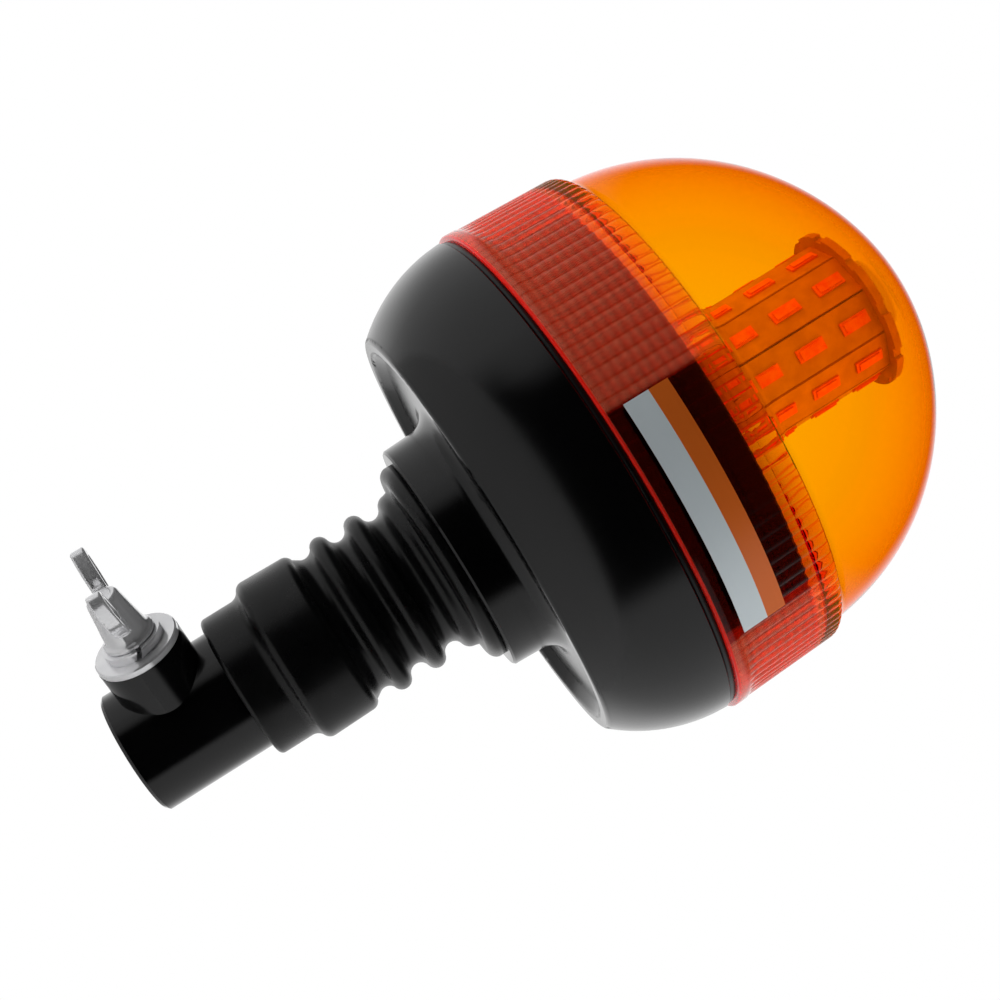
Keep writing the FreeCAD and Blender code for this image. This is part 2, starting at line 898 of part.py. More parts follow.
def dome_outline(inset):
    """Points of the dome's section from its foot up to its crown, inset from its outside."""
    radius = CELLS["dome_radius"] - inset
    rise = CELLS["dome_rise"] - inset
    foot = math.radians(CELLS["dome_foot_angle"])
    steps = 8
    points = []
    for i in range(steps):
        turn = foot + (math.pi / 2 - foot) * i / steps
        side = radius * math.cos(turn) ** CELLS["dome_side_power"]
        height = CELLS["dome_centre"] + rise * math.sin(turn) ** CELLS["dome_rise_power"]
        points.append(FreeCAD.Vector(side, height, 0))
    points.append(FreeCAD.Vector(0, CELLS["dome_centre"] + rise, 0))
    return points


def dome_curve(points):
    """A smooth curve through points that ends level on the axis."""
    curve = Part.BSplineCurve()
    curve.interpolate(
        Points=points,
        InitialTangent=points[1] - points[0],
        FinalTangent=FreeCAD.Vector(-1, 0, 0),
    )
    return curve


def add_fixed(sketch, edges):
    """Adds edges whose places are worked out in this file, each held where it is."""
    first = len(sketch.Geometry)
    sketch.addGeometry(edges)
    sketch.addConstraint(
        [Sketcher.Constraint("Block", first + i) for i in range(len(edges))]
    )


def make_lens_blank():
    """The lens before its flutes: flange, band with the thread's bore, shoulder and dome."""
    body = new_body("lens_blank")
    sketch = new_sketch(body, "XZ_Plane", "lens_outline")
    outside, inside = dome_outline(0.0), dome_outline(CELLS["dome_wall"])
    corners = [
        (CELLS["lens_bore"] - 0.3, CELLS["step_height"]),
        (CELLS["lens_bore"], CELLS["step_height"] - 0.2),
        (CELLS["lens_bore"], CELLS["gasket_top"]),
        (CELLS["flange_radius"], CELLS["gasket_top"]),
        (CELLS["flange_radius"], CELLS["flange_top"]),
        (CELLS["band_low_radius"], CELLS["flange_top"] + 0.5),
        (CELLS["band_high_radius"], CELLS["band_top"]),
        (outside[0].x + 0.25, outside[0].y - 0.05),
        (outside[0].x, outside[0].y),
    ]
    shoulder_start, shoulder_end = 6, 7
    vectors = [FreeCAD.Vector(x, y, 0) for x, y in corners]
    edges = [Part.LineSegment(a, b) for a, b in zip(vectors[:-1], vectors[1:])]
    edges[shoulder_start] = arc_through(vectors[shoulder_start], vectors[shoulder_end], 0.62)
    edges += [
        dome_curve(outside),
        Part.LineSegment(outside[-1], inside[-1]),
        dome_curve(inside),
        Part.LineSegment(inside[0], vectors[0]),
    ]
    add_fixed(sketch, edges)
    revolve(body, sketch)
    crown = cell("dome_centre") + cell("dome_rise") + 1
    flat = new_sketch(body, "XY_Plane", "crown_flat_outline", crown)
    circle(flat, 0, 0, cell("dome_radius") * 0.25)
    pocket(body, flat, crown - cell("crown_flat"), "crown_flat")
    return body


def fluted_sketch(name, crest_radius, height):
    """A closed ring of outward arcs, one for each flute, that meet in sharp valleys."""
    sketch = doc.addObject("Sketcher::SketchObject", name)
    sketch.Placement.Base.z = height
    valley = crest_radius - CELLS["flute_depth"]
    pitch = 360.0 / FLUTES
    valleys = [polar(valley, i * pitch) for i in range(FLUTES)]
    crests = [polar(crest_radius, (i + 0.5) * pitch) for i in range(FLUTES)]
    arcs = [Part.Arc(a, b, c) for a, b, c in zip(valleys, crests, valleys[1:] + valleys[:1])]
    add_fixed(sketch, arcs)
    return sketch


def make_lens():
    """Moulded amber lens: the turned blank with rounded flutes cut round its gripping band."""
    blank = make_lens_blank()
    bottom = CELLS["flange_top"] + 1.6
    top = CELLS["band_top"] + 6.0
    slope = (CELLS["band_high_radius"] - CELLS["band_low_radius"]) / (
        CELLS["band_top"] - CELLS["flange_top"] - 0.5
    )
    land = 0.04
    sections = []
    for name, height in (("low_flutes", bottom), ("high_flutes", top)):
        crest = CELLS["band_low_radius"] + slope * (height - CELLS["flange_top"] - 0.5) + land
        sections.append(fluted_sketch(name, crest, height))
    core = doc.addObject("Part::Loft", "fluted_core")
    core.Sections = sections
    core.Solid, core.Ruled = True, True
    sleeve = doc.addObject("Part::Cylinder", "flute_sleeve")
    bind(sleeve, "Radius", cell("flange_radius") + 3)
    bind(sleeve, "Height", top - bottom)
    sleeve.Placement.Base.z = bottom
    cutter = doc.addObject("Part::Cut", "flute_cutter")
    cutter.Base, cutter.Tool = sleeve, core
    lens = doc.addObject("Part::Cut", "lens")
    lens.Label = "lens"
    lens.Base, lens.Tool = blank, cutter
    return lens


# ---------------------------------------------------------------- electronics


def make_chassis_plate():
    """Moulded deck inside the collar that carries the driver board and the tower."""
    seat, thick = cell("plate_seat"), cell("plate_thickness")
    outer, wire_opening, rim = cell("plate_radius"), 9.0, 1.6
    body = turned_body(
        "chassis_plate",
        [
            (wire_opening, seat),
            (outer, seat),
            (outer, seat + thick + rim),
            (outer - rim, seat + thick + rim),
            (outer - rim, seat + thick),
            (wire_opening, seat + thick),
        ],
    )
    stubs = new_sketch(body, "XY_Plane", "stub_outline", seat + thick - 0.5)
    circle(stubs, cell("board_screw_circle"), 0, 3.0)
    stub = pad(body, stubs, cell("board_bottom") - seat - thick + 0.5, "stub")
    around(body, stub, BOARD_SCREWS, "stubs")
    pilots = new_sketch(body, "XY_Plane", "stub_pilot_outline", cell("board_bottom"))
    circle(pilots, cell("board_screw_circle"), 0, BOARD_SCREW[0] + 0.05)
    around(body, pocket(body, pilots, 4.0, "stub_pilot"), BOARD_SCREWS, "stub_pilots")
    holes = new_sketch(body, "XY_Plane", "deck_hole_outline", seat + thick)
    circle(holes, cell("post_circle"), 0, PLATE_SCREW[0] + 0.4)
    around(body, pocket(body, holes, thick + 1, "deck_hole"), PLATE_SCREWS, "deck_holes")
    return body


def make_plate_screws():
    top = CELLS["plate_seat"] + CELLS["plate_thickness"]
    screw = screw_shape(PLATE_SCREW, 11.0)
    return shape_feature("plate_screws", ring_of(screw, PLATE_SCREWS, CELLS["post_circle"], top))


def make_driver_board():
    body = new_body("driver_board")
    bottom, thick = cell("board_bottom"), cell("board_thickness")
    sketch = new_sketch(body, "XY_Plane", "board_outline", bottom)
    circle(sketch, 0, 0, cell("board_radius"))
    pad(body, sketch, thick, "board")
    holes = new_sketch(body, "XY_Plane", "board_hole_outline", bottom + thick)
    circle(holes, cell("board_screw_circle"), 0, BOARD_SCREW[0] + 0.45)
    around(body, pocket(body, holes, thick + 1, "board_hole"), BOARD_SCREWS)
    return body


def board_top():
    return CELLS["board_bottom"] + CELLS["board_thickness"]


def make_board_screws():
    screw = screw_shape(BOARD_SCREW, 4.6)
    screws = ring_of(screw, BOARD_SCREWS, CELLS["board_screw_circle"], board_top())
    return shape_feature("board_screws", screws)


def make_capacitors():
    """Two electrolytic smoothing capacitors with rolled rims."""
    radius, height = 5.0, 11.5
    can = Part.makeCylinder(radius, height)
    groove = Part.makeTorus(radius + 0.25, 0.55, FreeCAD.Vector(0, 0, 1.9))
    can = can.cut(groove)
    can = can.makeChamfer(0.5, [e for e in can.Edges if is_round(e, radius, height)])
    cans = []
    for angle in (96.0, 120.0):
        copy = can.copy()
        copy.translate(polar(CELLS["component_circle"], angle, board_top()))
        cans.append(copy)
    return shape_feature("capacitors", Part.makeCompound(cans))


def make_inductor():
    """Wound drum choke: two flanges with the winding between them."""
    flange, winding, height, edge = 5.2, 4.3, 7.6, 1.2
    body = turned_body(
        "inductor",
        [
            (0, 0),
            (flange, 0),
            (flange, edge),
            (winding, edge, 0.25),
            (winding, height - edge),
            (flange, height - edge),
            (flange, height),
            (0, height),
        ],
    )
    place(body, polar(CELLS["component_circle"], 216.0, board_top()))
    return body


def make_terminal_block():
    """Two-way screw terminal, open at the front, with its two screws' wells on top."""
    width, depth, height = 10.0, 8.0, 9.0
    block = Part.makeBox(width, depth, height, FreeCAD.Vector(-width / 2, -depth / 2, 0))
    for x in (-2.5, 2.5):
        well = Part.makeCylinder(1.7, 3.0, FreeCAD.Vector(x, 0, height - 3.0))
        entry = Part.makeBox(3.4, 4.5, 3.4, FreeCAD.Vector(x - 1.7, -depth / 2 - 0.5, 1.4))
        block = block.cut(well).cut(entry)
    feature = shape_feature("terminal_block", block)
    place(feature, polar(CELLS["component_circle"] + 2.0, 270.0, board_top()))
    return feature


def make_control_chips():
    """The regulator and the flash controller: low boxes with a row of legs down each side."""
    chips = []
    for angle, length, width, legs in ((336.0, 9.0, 6.4, 5), (20.0, 6.4, 5.0, 4)):
        height = 1.9
        chip = Part.makeBox(
            length, width, height, FreeCAD.Vector(-length / 2, -width / 2, 0.15)
        )
        pitch = length / legs
        for i in range(legs):
            for side in (-1, 1):
                leg = Part.makeBox(
                    0.5,
                    1.4,
                    0.6,
                    FreeCAD.Vector(
                        -length / 2 + (i + 0.5) * pitch - 0.25,
                        side * (width / 2 + 0.4) - 0.7,
                        0,
                    ),
                )
                chip = chip.fuse(leg)
        chip = chip.removeSplitter()
        chip.rotate(FreeCAD.Vector(0, 0, 0), FreeCAD.Vector(0, 0, 1), angle + 90.0)
        chip.translate(polar(CELLS["component_circle"] - 1.0, angle, board_top()))
        chips.append(chip)
    return shape_feature("control_chips", Part.makeCompound(chips))


def decagon(sketch, corner_radius, first_angle):
    """A regular ten-sided outline, its corners held on a circle about the origin."""
    points = [polar(corner_radius, first_angle + i * 360.0 / STRIPS) for i in range(STRIPS)]
    add_fixed(sketch, [Part.LineSegment(a, b) for a, b in zip(points, points[1:] + points[:1])])


def strip_face():
    """Distance from the axis to the outer face of the LED strips."""
    return CELLS["tower_corner"] * math.cos(math.pi / STRIPS)


def make_tower_core():
    """Ten-sided column, hollow from below, that the LED strips are fixed to."""
    body = new_body("tower_core")
    bottom = cell("board_bottom") + cell("board_thickness")
    flat = strip_face() - CELLS["strip_thickness"] - 0.03
    sketch = new_sketch(body, "XY_Plane", "core_outline", bottom)
    half_side = 180.0 / STRIPS
    decagon(sketch, flat / math.cos(math.pi / STRIPS), FIRST_STRIP_ANGLE - half_side)
    pad(body, sketch, cell("tower_top") - bottom, "column")
    bore = new_sketch(body, "XY_Plane", "core_bore_outline", bottom)
    circle(bore, 0, 0, cell("tower_bore"))
    pocket(body, bore, cell("tower_top") - bottom - 3, "core_bore", upward=True)
    screw = new_sketch(body, "XY_Plane", "core_screw_outline", cell("tower_top"))
    circle(screw, 0, 0, BOARD_SCREW[0] + 0.05)
    pocket(body, screw, 4.0, "core_screw_hole")
    return body


def make_led_strips():
    """Ten long circuit strips round the core."""
    strips = []
    bottom = cell("board_bottom") + cell("board_thickness")
    for i in range(STRIPS):
        angle = FIRST_STRIP_ANGLE + i * 360.0 / STRIPS
        name = f"led_strip_{i + 1:02d}"
        strip = doc.addObject("Part::Box", name)
        strip.Label = name
        bind(strip, "Length", cell("strip_thickness"))
        bind(strip, "Width", cell("strip_width"))
        bind(strip, "Height", cell("tower_top") - bottom)
        inner = strip_face() - CELLS["strip_thickness"]
        corner = FreeCAD.Vector(inner, -CELLS["strip_width"] / 2, 0)
        turn = FreeCAD.Rotation(FreeCAD.Vector(0, 0, 1), angle)
        base = turn.multVec(corner) + FreeCAD.Vector(0, 0, bottom.value)
        strip.Placement = FreeCAD.Placement(base, turn)
        strips.append(strip)
    return strips


def led_shape():
    """One surface LED: a low body with a raised lens window."""
    length, width, height = CELLS["led_length"], CELLS["led_width"], CELLS["led_height"]
    case = Part.makeBox(height * 0.6, width, length, FreeCAD.Vector(0, -width / 2, -length / 2))
    window = Part.makeBox(
        height * 0.4,
        width * 0.7,
        length * 0.78,
        FreeCAD.Vector(height * 0.6, -width * 0.35, -length * 0.39),
    )
    return case.fuse(window).removeSplitter()


def make_leds():
    """Four LEDs on each strip, one node for each strip's row."""
    rows = []
    for i in range(STRIPS):
        angle = FIRST_STRIP_ANGLE + i * 360.0 / STRIPS
        leds = []
        for j in range(LEDS_PER_STRIP):
            led = led_shape()
            height = CELLS["first_led"] + j * CELLS["led_pitch"]
            led.translate(FreeCAD.Vector(strip_face(), 0, height))
            led.rotate(FreeCAD.Vector(0, 0, 0), FreeCAD.Vector(0, 0, 1), angle)
            leds.append(led)
        rows.append(shape_feature(f"led_row_{i + 1:02d}", Part.makeCompound(leds)))
    return rows


def make_top_disc():
    """Round circuit board that caps the tower, notched where each strip's tab comes through."""
    body = new_body("top_disc")
    top = cell("tower_top")
    sketch = new_sketch(body, "XY_Plane", "disc_outline", top)
    circle(sketch, 0, 0, cell("disc_radius"))
    thick = cell("disc_thickness")
    pad(body, sketch, thick, "disc")
    hole = new_sketch(body, "XY_Plane", "disc_hole_outline", top + thick)
    circle(hole, 0, 0, BOARD_SCREW[0] + 0.45)
    pocket(body, hole, thick + 1, "disc_hole")
    notch = new_sketch(body, "XY_Plane", "notch_outline", top + thick)
    near, far, half = cell("disc_radius") - 1.0, cell("disc_radius") + 1.0, 1.6
    outline(notch, [(near, -half), (far, -half), (far, half), (near, half)])
    around(body, pocket(body, notch, thick + 1, "notch"), STRIPS)
    place(body, FreeCAD.Vector(0, 0, 0), angle=FIRST_STRIP_ANGLE)
    return body


def make_top_screw():
    screw = screw_shape(BOARD_SCREW, 4.2)
    screw.translate(FreeCAD.Vector(0, 0, CELLS["tower_top"] + CELLS["disc_thickness"]))
    return shape_feature("top_screw", screw)


# ---------------------------------------------------------------- build and write


def main():
    parts = [
        make_mount_tube(),
        make_clamp_boss(),
        make_flat_washer(),
        make_spring_washer(),
        make_wing_bolt(),
        make_contact_block(),
        make_ground_ring(),
        make_ring_rivets(),
        make_contact_plunger(),
        make_contact_spring(),
        make_contact_cap(),
        make_stem_boot(),
        make_stem_insert(),
        make_stem_screws(),
        *make_supply_leads(),
        make_wire_grommet(),
        make_base_housing(),
        make_lens_gasket(),
        make_lens(),
        make_chassis_plate(),
        make_plate_screws(),
        make_driver_board(),
        make_board_screws(),
        make_capacitors(),
        make_inductor(),
        make_terminal_block(),
        make_control_chips(),
        make_tower_core(),
        *make_led_strips(),
        *make_leds(),
        make_top_disc(),
        make_top_screw(),
    ]
    doc.recompute()
    for obj in doc.Objects:
        if {"Invalid", "Error"} & set(obj.State):
            raise RuntimeError(f"{obj.Label}: {obj.State}")
    os.makedirs("parts", exist_ok=True)
    for part in parts:
        if part.Shape.isNull() or not part.Shape.isValid():
            raise RuntimeError(f"{part.Label} has no valid shape")
        part.Shape.exportStep(f"parts/{part.Label}.step")
        box = part.Shape.optimalBoundingBox(False)
        print(
            f"{part.Label:18s} solids {len(part.Shape.Solids):3d}  volume {part.Shape.Volume:10.1f}"
            f"  x {box.XMin:8.2f} {box.XMax:8.2f}  y {box.YMin:8.2f} {box.YMax:8.2f}"
            f"  z {box.ZMin:8.2f} {box.ZMax:8.2f}"
        )


main()
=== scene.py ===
"""Looks for the amber LED beacon: finish, fluted lens, threads, blank label and studio.

Lengths are in metres in the part's own frame: +Z up the beacon's axis, the clamp screw along -X.
"""

import json
import math

import bpy
import numpy as np
from mathutils import Matrix, Vector


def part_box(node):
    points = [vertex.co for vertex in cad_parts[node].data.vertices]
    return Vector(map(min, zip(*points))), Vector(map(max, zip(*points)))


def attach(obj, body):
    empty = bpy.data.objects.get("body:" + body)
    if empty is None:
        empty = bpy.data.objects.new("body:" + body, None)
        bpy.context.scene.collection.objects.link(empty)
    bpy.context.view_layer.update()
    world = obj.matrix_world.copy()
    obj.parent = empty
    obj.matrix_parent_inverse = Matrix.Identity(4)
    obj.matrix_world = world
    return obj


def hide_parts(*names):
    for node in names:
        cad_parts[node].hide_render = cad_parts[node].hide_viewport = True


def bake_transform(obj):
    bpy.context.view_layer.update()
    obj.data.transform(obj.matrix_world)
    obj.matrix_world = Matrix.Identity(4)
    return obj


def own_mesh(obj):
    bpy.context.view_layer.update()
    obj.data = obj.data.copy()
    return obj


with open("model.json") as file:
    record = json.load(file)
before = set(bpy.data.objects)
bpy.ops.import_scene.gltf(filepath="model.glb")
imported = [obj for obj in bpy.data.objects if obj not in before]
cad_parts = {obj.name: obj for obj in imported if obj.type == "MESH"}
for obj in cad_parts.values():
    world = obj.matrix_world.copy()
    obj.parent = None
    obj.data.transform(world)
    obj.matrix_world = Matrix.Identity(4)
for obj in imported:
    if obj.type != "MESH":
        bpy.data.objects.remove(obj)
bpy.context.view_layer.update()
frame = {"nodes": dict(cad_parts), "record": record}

MM = 0.001

# The lens, in mm.
FLANGE_BOTTOM, FLANGE_RADIUS = 123.4, 65.2
BAND_LOW, BAND_HIGH = 127.1, 151.2
BAND_LOW_RADIUS, BAND_HIGH_RADIUS = 64.9, 63.95
BORE_RADIUS, BORE_TOP = 60.75, 148.4
FLUTES_LOW, FLUTES_HIGH, FLUTES, FLUTE_DEPTH = 128.2, 153.4, 120, 0.45
DOME_RADIUS, DOME_RISE, DOME_CENTRE, DOME_WALL = 61.38, 62.64, 149.5, 2.5
DOME_FOOT_ANGLE, CROWN_FLAT = math.radians(3.3), 211.25

# The label: its place round the band in degrees, and its heights in mm.
LABEL_MIDDLE, LABEL_HALF_ANGLE = 257.0, 26.5
LABEL_LOW, LABEL_SPLIT, LABEL_HIGH = 128.0, 134.1, 138.8


# ---------------------------------------------------------------- meshes


def mesh_object(name, vertices, faces, smooth=True):
    """A new object in the scene, from vertices in metres."""
    mesh = bpy.data.meshes.new(name)
    mesh.from_pydata([tuple(v) for v in vertices], [], [tuple(f) for f in faces])
    mesh.validate()
    mesh.update()
    if smooth:
        mesh.shade_smooth()
    obj = bpy.data.objects.new(name, mesh)
    bpy.context.scene.collection.objects.link(obj)
    return obj


def lathe(name, profile, columns=192, relief=None, close=True):
    """A closed profile of (radius, height) turned about Z. Points on the axis share one vertex.

    relief(radius, height, angles) gives each point's own radius, for flutes and the like.
    """
    angles = np.arange(columns) * (2 * math.pi / columns)
    vertices, rings = [], []
    for radius, height in profile:
        if radius < 1e-7:
            rings.append([len(vertices)])
            vertices.append((0.0, 0.0, height))
            continue
        radii = np.full(columns, radius) if relief is None else relief(radius, height, angles)
        rings.append(list(range(len(vertices), len(vertices) + columns)))
        vertices.extend(zip(radii * np.cos(angles), radii * np.sin(angles), [height] * columns))
    faces = []
    pairs = list(zip(rings, rings[1:] + rings[:1])) if close else list(zip(rings, rings[1:]))
    for low, high in pairs:
        for j in range(columns):
            k = (j + 1) % columns
            if len(low) == 1 and len(high) == 1:
                continue
            if len(low) == 1:
                faces.append((low[0], high[k], high[j]))
            elif len(high) == 1:
                faces.append((low[j], low[k], high[0]))
            else:
                faces.append((low[j], low[k], high[k], high[j]))
    return mesh_object(name, vertices, faces)


def arc(start, end, bulge, count):
    """Points after start up to end on the arc that stands off the chord to the right."""
    (ax, ay), (bx, by) = start, end
    chord = math.hypot(bx - ax, by - ay)
    nx, ny = (by - ay) / chord, -(bx - ax) / chord
    radius = (chord * chord / 4 + bulge * bulge) / (2 * bulge)
    cx = (ax + bx) / 2 + nx * (bulge - radius)
    cy = (ay + by) / 2 + ny * (bulge - radius)
    first = math.atan2(ay - cy, ax - cx)
    sweep = (math.atan2(by - cy, bx - cx) - first + math.pi) % (2 * math.pi) - math.pi
    size = abs(radius)
    turns = [first + sweep * i / count for i in range(1, count + 1)]
    return [(cx + size * math.cos(a), cy + size * math.sin(a)) for a in turns]


def path(corners, count=8):
    """Points along corners; (x, y, bulge) means that an arc leads on from that corner."""
    points = []
    for corner, following in zip(corners, corners[1:] + corners[:1]):
        points.append(corner[:2])
        if len(corner) == 3:
            points.extend(arc(corner[:2], following[:2], corner[2], count)[:-1])
    return points


def refine(points, step):
    """Splits long stretches of a closed profile so that it can bend."""
    out = []
    for a, b in zip(points, points[1:] + points[:1]):
        parts = max(1, math.ceil(math.hypot(b[0] - a[0], b[1] - a[1]) / step))
        out.extend(
            (a[0] + (b[0] - a[0]) * i / parts, a[1] + (b[1] - a[1]) * i / parts)
            for i in range(parts)
        )
    return out


def in_metres(points):
    return [(x * MM, y * MM) for x, y in points]


# ---------------------------------------------------------------- materials


class Shader:
    """A node material round one Principled shader, with short names for the usual nodes."""

    def __init__(self, name, color, roughness, metallic=0.0, **sockets):
        self.material = bpy.data.materials.new(name)
        self.material.use_nodes = True
        self.tree = self.material.node_tree
        self.shader = self.tree.nodes["Principled BSDF"]
        self.output = self.tree.nodes["Material Output"]
        self.shader.inputs["Base Color"].default_value = (*color, 1.0)
        self.shader.inputs["Roughness"].default_value = roughness
        self.shader.inputs["Metallic"].default_value = metallic
        for label, value in sockets.items():
            self.shader.inputs[label.replace("_", " ")].default_value = value

    def node(self, kind, **settings):
        """A new node. Each setting is an input's value or else a property."""
        made = self.tree.nodes.new(kind)
        for key, value in settings.items():
            if key in made.inputs:
                made.inputs[key].default_value = value
            else:
                setattr(made, key, value)
        return made

    def link(self, a, b):
        self.tree.links.new(a, b)

    def place(self):
        """The point on the surface, in the object's own frame."""
        return self.node("ShaderNodeTexCoord").outputs["Object"]

    def axes(self, point):
        split = self.node("ShaderNodeSeparateXYZ")
        self.link(point, split.inputs["Vector"])
        return split.outputs

    def ramp(self, value, low, high, start=0.0, end=1.0):
        """Start at low, end at high, and straight in between."""
        mapped = self.node("ShaderNodeMapRange")
        for label, number in (
            ("From Min", low), ("From Max", high), ("To Min", start), ("To Max", end)
        ):
            mapped.inputs[label].default_value = number
        self.link(value, mapped.inputs["Value"])
        return mapped.outputs["Result"]

    def maths(self, operation, a, b=None):
        node = self.node("ShaderNodeMath", operation=operation)
        self.link(a, node.inputs[0])
        if isinstance(b, float):
            node.inputs[1].default_value = b
        elif b is not None:
            self.link(b, node.inputs[1])
        return node.outputs["Value"]

    def vector(self, operation, a, b=None, output="Vector"):
        node = self.node("ShaderNodeVectorMath", operation=operation)
        self.link(a, node.inputs[0])
        if b is not None:
            node.inputs[1].default_value = b
        return node.outputs[output]

    def blend(self, share, start, end):
        """From start to end by share, where each is a colour or a socket."""
        mix = self.node("ShaderNodeMix", data_type="RGBA")
        self.link(share, mix.inputs["Factor"])
        for label, value in (("A", start), ("B", end)):
            if isinstance(value, tuple):
                mix.inputs[label].default_value = (*value, 1.0)
            else:
                self.link(value, mix.inputs[label])
        return mix.outputs["Result"]

    def swap_surface(self, share, other):
        """Puts another shader's output in place of the Principled shader's, by share."""
        mix = self.node("ShaderNodeMixShader")
        self.link(share, mix.inputs["Fac"])
        self.link(self.shader.outputs["BSDF"], mix.inputs[1])
        self.link(other, mix.inputs[2])
        self.link(mix.outputs["Shader"], self.output.inputs["Surface"])

    def noise(self, scale, detail=3.0, stretch=(1.0, 1.0, 1.0)):
        mapping = self.node("ShaderNodeMapping")
        mapping.inputs["Scale"].default_value = stretch
        self.link(self.place(), mapping.inputs["Vector"])
        noise = self.node("ShaderNodeTexNoise", Scale=scale, Detail=detail)
        self.link(mapping.outputs["Vector"], noise.inputs["Vector"])
        return noise.outputs["Fac"]

    def spread(self, value, low, high, label):
        """Maps a noise to low to high on one of the shader's numbers."""
        self.link(self.ramp(value, 0.3, 0.7, low, high), self.shader.inputs[label])

    def tint(self, value, low, high):
        """Colours the surface between two colours by a noise."""
        ramp = self.node("ShaderNodeValToRGB")
        first, last = ramp.color_ramp.elements
        first.position, last.position = 0.3, 0.7
        first.color, last.color = (*low, 1.0), (*high, 1.0)
        self.link(value, ramp.inputs["Fac"])
        self.link(ramp.outputs["Color"], self.shader.inputs["Base Color"])

    def bump(self, value, distance, strength=1.0):
        bump = self.node("ShaderNodeBump", Strength=strength, Distance=distance)
        self.link(value, bump.inputs["Height"])
        self.link(bump.outputs["Normal"], self.shader.inputs["Normal"])


def black_paint():
    s = Shader("black_paint", (0.002, 0.002, 0.0022), 0.12)
    s.spread(s.noise(90.0), 0.10, 0.17, "Roughness")
    s.bump(s.noise(420.0, 4.0), 0.00003, 0.3)
    return s.material


def black_rubber():
    s = Shader("black_rubber", (0.002, 0.002, 0.0022), 0.3, Specular_IOR_Level=0.35)
    s.tint(s.noise(60.0), (0.0015, 0.0015, 0.0017), (0.003, 0.003, 0.0032))
    s.spread(s.noise(140.0), 0.24, 0.36, "Roughness")
    s.bump(s.noise(700.0, 5.0), 0.00003, 0.5)
    return s.material


def black_housing():
    s = Shader("black_housing", (0.002, 0.002, 0.0022), 0.18)
    s.spread(s.noise(50.0), 0.15, 0.21, "Roughness")
    s.bump(s.noise(900.0, 4.0), 0.00001, 0.4)
    return s.material


def black_nylon():
    s = Shader("black_nylon", (0.02, 0.02, 0.021), 0.45)
    s.spread(s.noise(120.0), 0.38, 0.52, "Roughness")
    s.bump(s.noise(1200.0, 5.0), 0.00003, 0.5)
    return s.material


def amber_lens():
    """Clear amber moulding, redder where light goes a long way through it.

    The threaded band scatters some light, with lighter rings along the thread: a painted highlight
    of the thread's ridges. Over the label's side it is clear and painted darker, as painted shade
    where the light only grazes it. The flutes' valleys are painted redder, as painted shade; the
    flange's lower edge is redder too. The crown's flat is painted brown, a painted reflection of
    the parts inside.
    Shadow rays pass tinted, so that the studio's light reaches the parts inside.
    """
    clear, thread_red, shaded_side_red = (1.0, 0.97, 0.0), (0.95, 0.28, 0.14), (0.40, 0.15, 0.08)
    valley_shade_red, crown_reflection_brown, edge_red = (0.70, 0.09, 0.02), (0.70, 0.48, 0.12), (1.0, 0.02, 0.01)
    s = Shader("amber_lens", clear, 0.015, IOR=1.25)
    place = s.place()
    x, y, z = s.axes(place)
    flat = s.vector("MULTIPLY", place, (1.0, 1.0, 0.0))

    # Painted shade: over the label's side the band is made clear and darker, as where the light
    # only grazes it.
    middle = math.radians(LABEL_MIDDLE)
    toward_label = (math.cos(middle), math.sin(middle), 0.0)
    facing = s.vector("DOT_PRODUCT", s.vector("NORMALIZE", flat), toward_label, "Value")
    edge, soft = math.cos(math.radians(LABEL_HALF_ANGLE + 0.7)), 0.004
    shaded_side_mask = s.ramp(facing, edge - soft, edge + soft)
    # Painted reflection: the crown's flat is tinted brown and made a little less clear.
    on_crown = s.maths(
        "MULTIPLY",
        s.ramp(s.vector("LENGTH", flat, output="Value"), 9.2 * MM, 9.7 * MM, 1.0, 0.0),
        s.ramp(z, 205.0 * MM, 206.0 * MM),
    )
    above_edge = s.ramp(z, 123.9 * MM, 124.2 * MM)

    # Painted shade: the flutes' valleys are coloured redder and darker.
    turn = s.maths("MULTIPLY", s.maths("ARCTAN2", y, x), FLUTES / 2)
    off_valley = s.ramp(s.maths("ABSOLUTE", s.maths("SINE", turn)), 0.0, 0.35)
    crest = s.maths("MAXIMUM", off_valley, s.ramp(z, 153.2 * MM, 153.6 * MM))
    color = s.blend(
        s.ramp(z, 145.5 * MM, 155.0 * MM), s.blend(shaded_side_mask, thread_red, shaded_side_red), clear
    )
    color = s.blend(crest, valley_shade_red, color)
    color = s.blend(on_crown, color, crown_reflection_brown)
    s.link(s.blend(above_edge, edge_red, color), s.shader.inputs["Base Color"])

    # Painted highlight: lighter rings along the thread, where the thread's ridges would catch the
    # light.
    rings = s.node("ShaderNodeTexWave", wave_type="BANDS", bands_direction="Z", Scale=131.0)
    s.link(place, rings.inputs["Vector"])
    share = shaded_side_mask
    for part in (
        s.ramp(rings.outputs["Fac"], 0.0, 1.0, 0.70, 0.80),
        s.ramp(z, 145.5 * MM, 147.5 * MM, 0.0, 0.88),
        s.ramp(z, 152.4 * MM, 154.0 * MM),
    ):
        share = s.maths("MAXIMUM", share, part)
    share = s.maths("MULTIPLY", share, s.ramp(above_edge, 0.0, 1.0, 0.25, 1.0))
    share = s.maths("MULTIPLY", share, s.ramp(on_crown, 0.0, 1.0, 1.0, 0.92))
    s.link(share, s.shader.inputs["Transmission Weight"])

    s.bump(s.noise(26.0, 2.0), 0.0004, 0.2)
    depth = s.node("ShaderNodeVolumeAbsorption", Color=(1.0, 0.10, 0.0, 1.0), Density=200.0)
    s.link(depth.outputs["Volume"], s.output.inputs["Volume"])
    passing = s.node("ShaderNodeBsdfTransparent", Color=(1.0, 0.80, 0.35, 1.0))
    in_shadow = s.node("ShaderNodeLightPath").outputs["Is Shadow Ray"]
    s.swap_surface(in_shadow, passing.outputs["BSDF"])
    return s.material


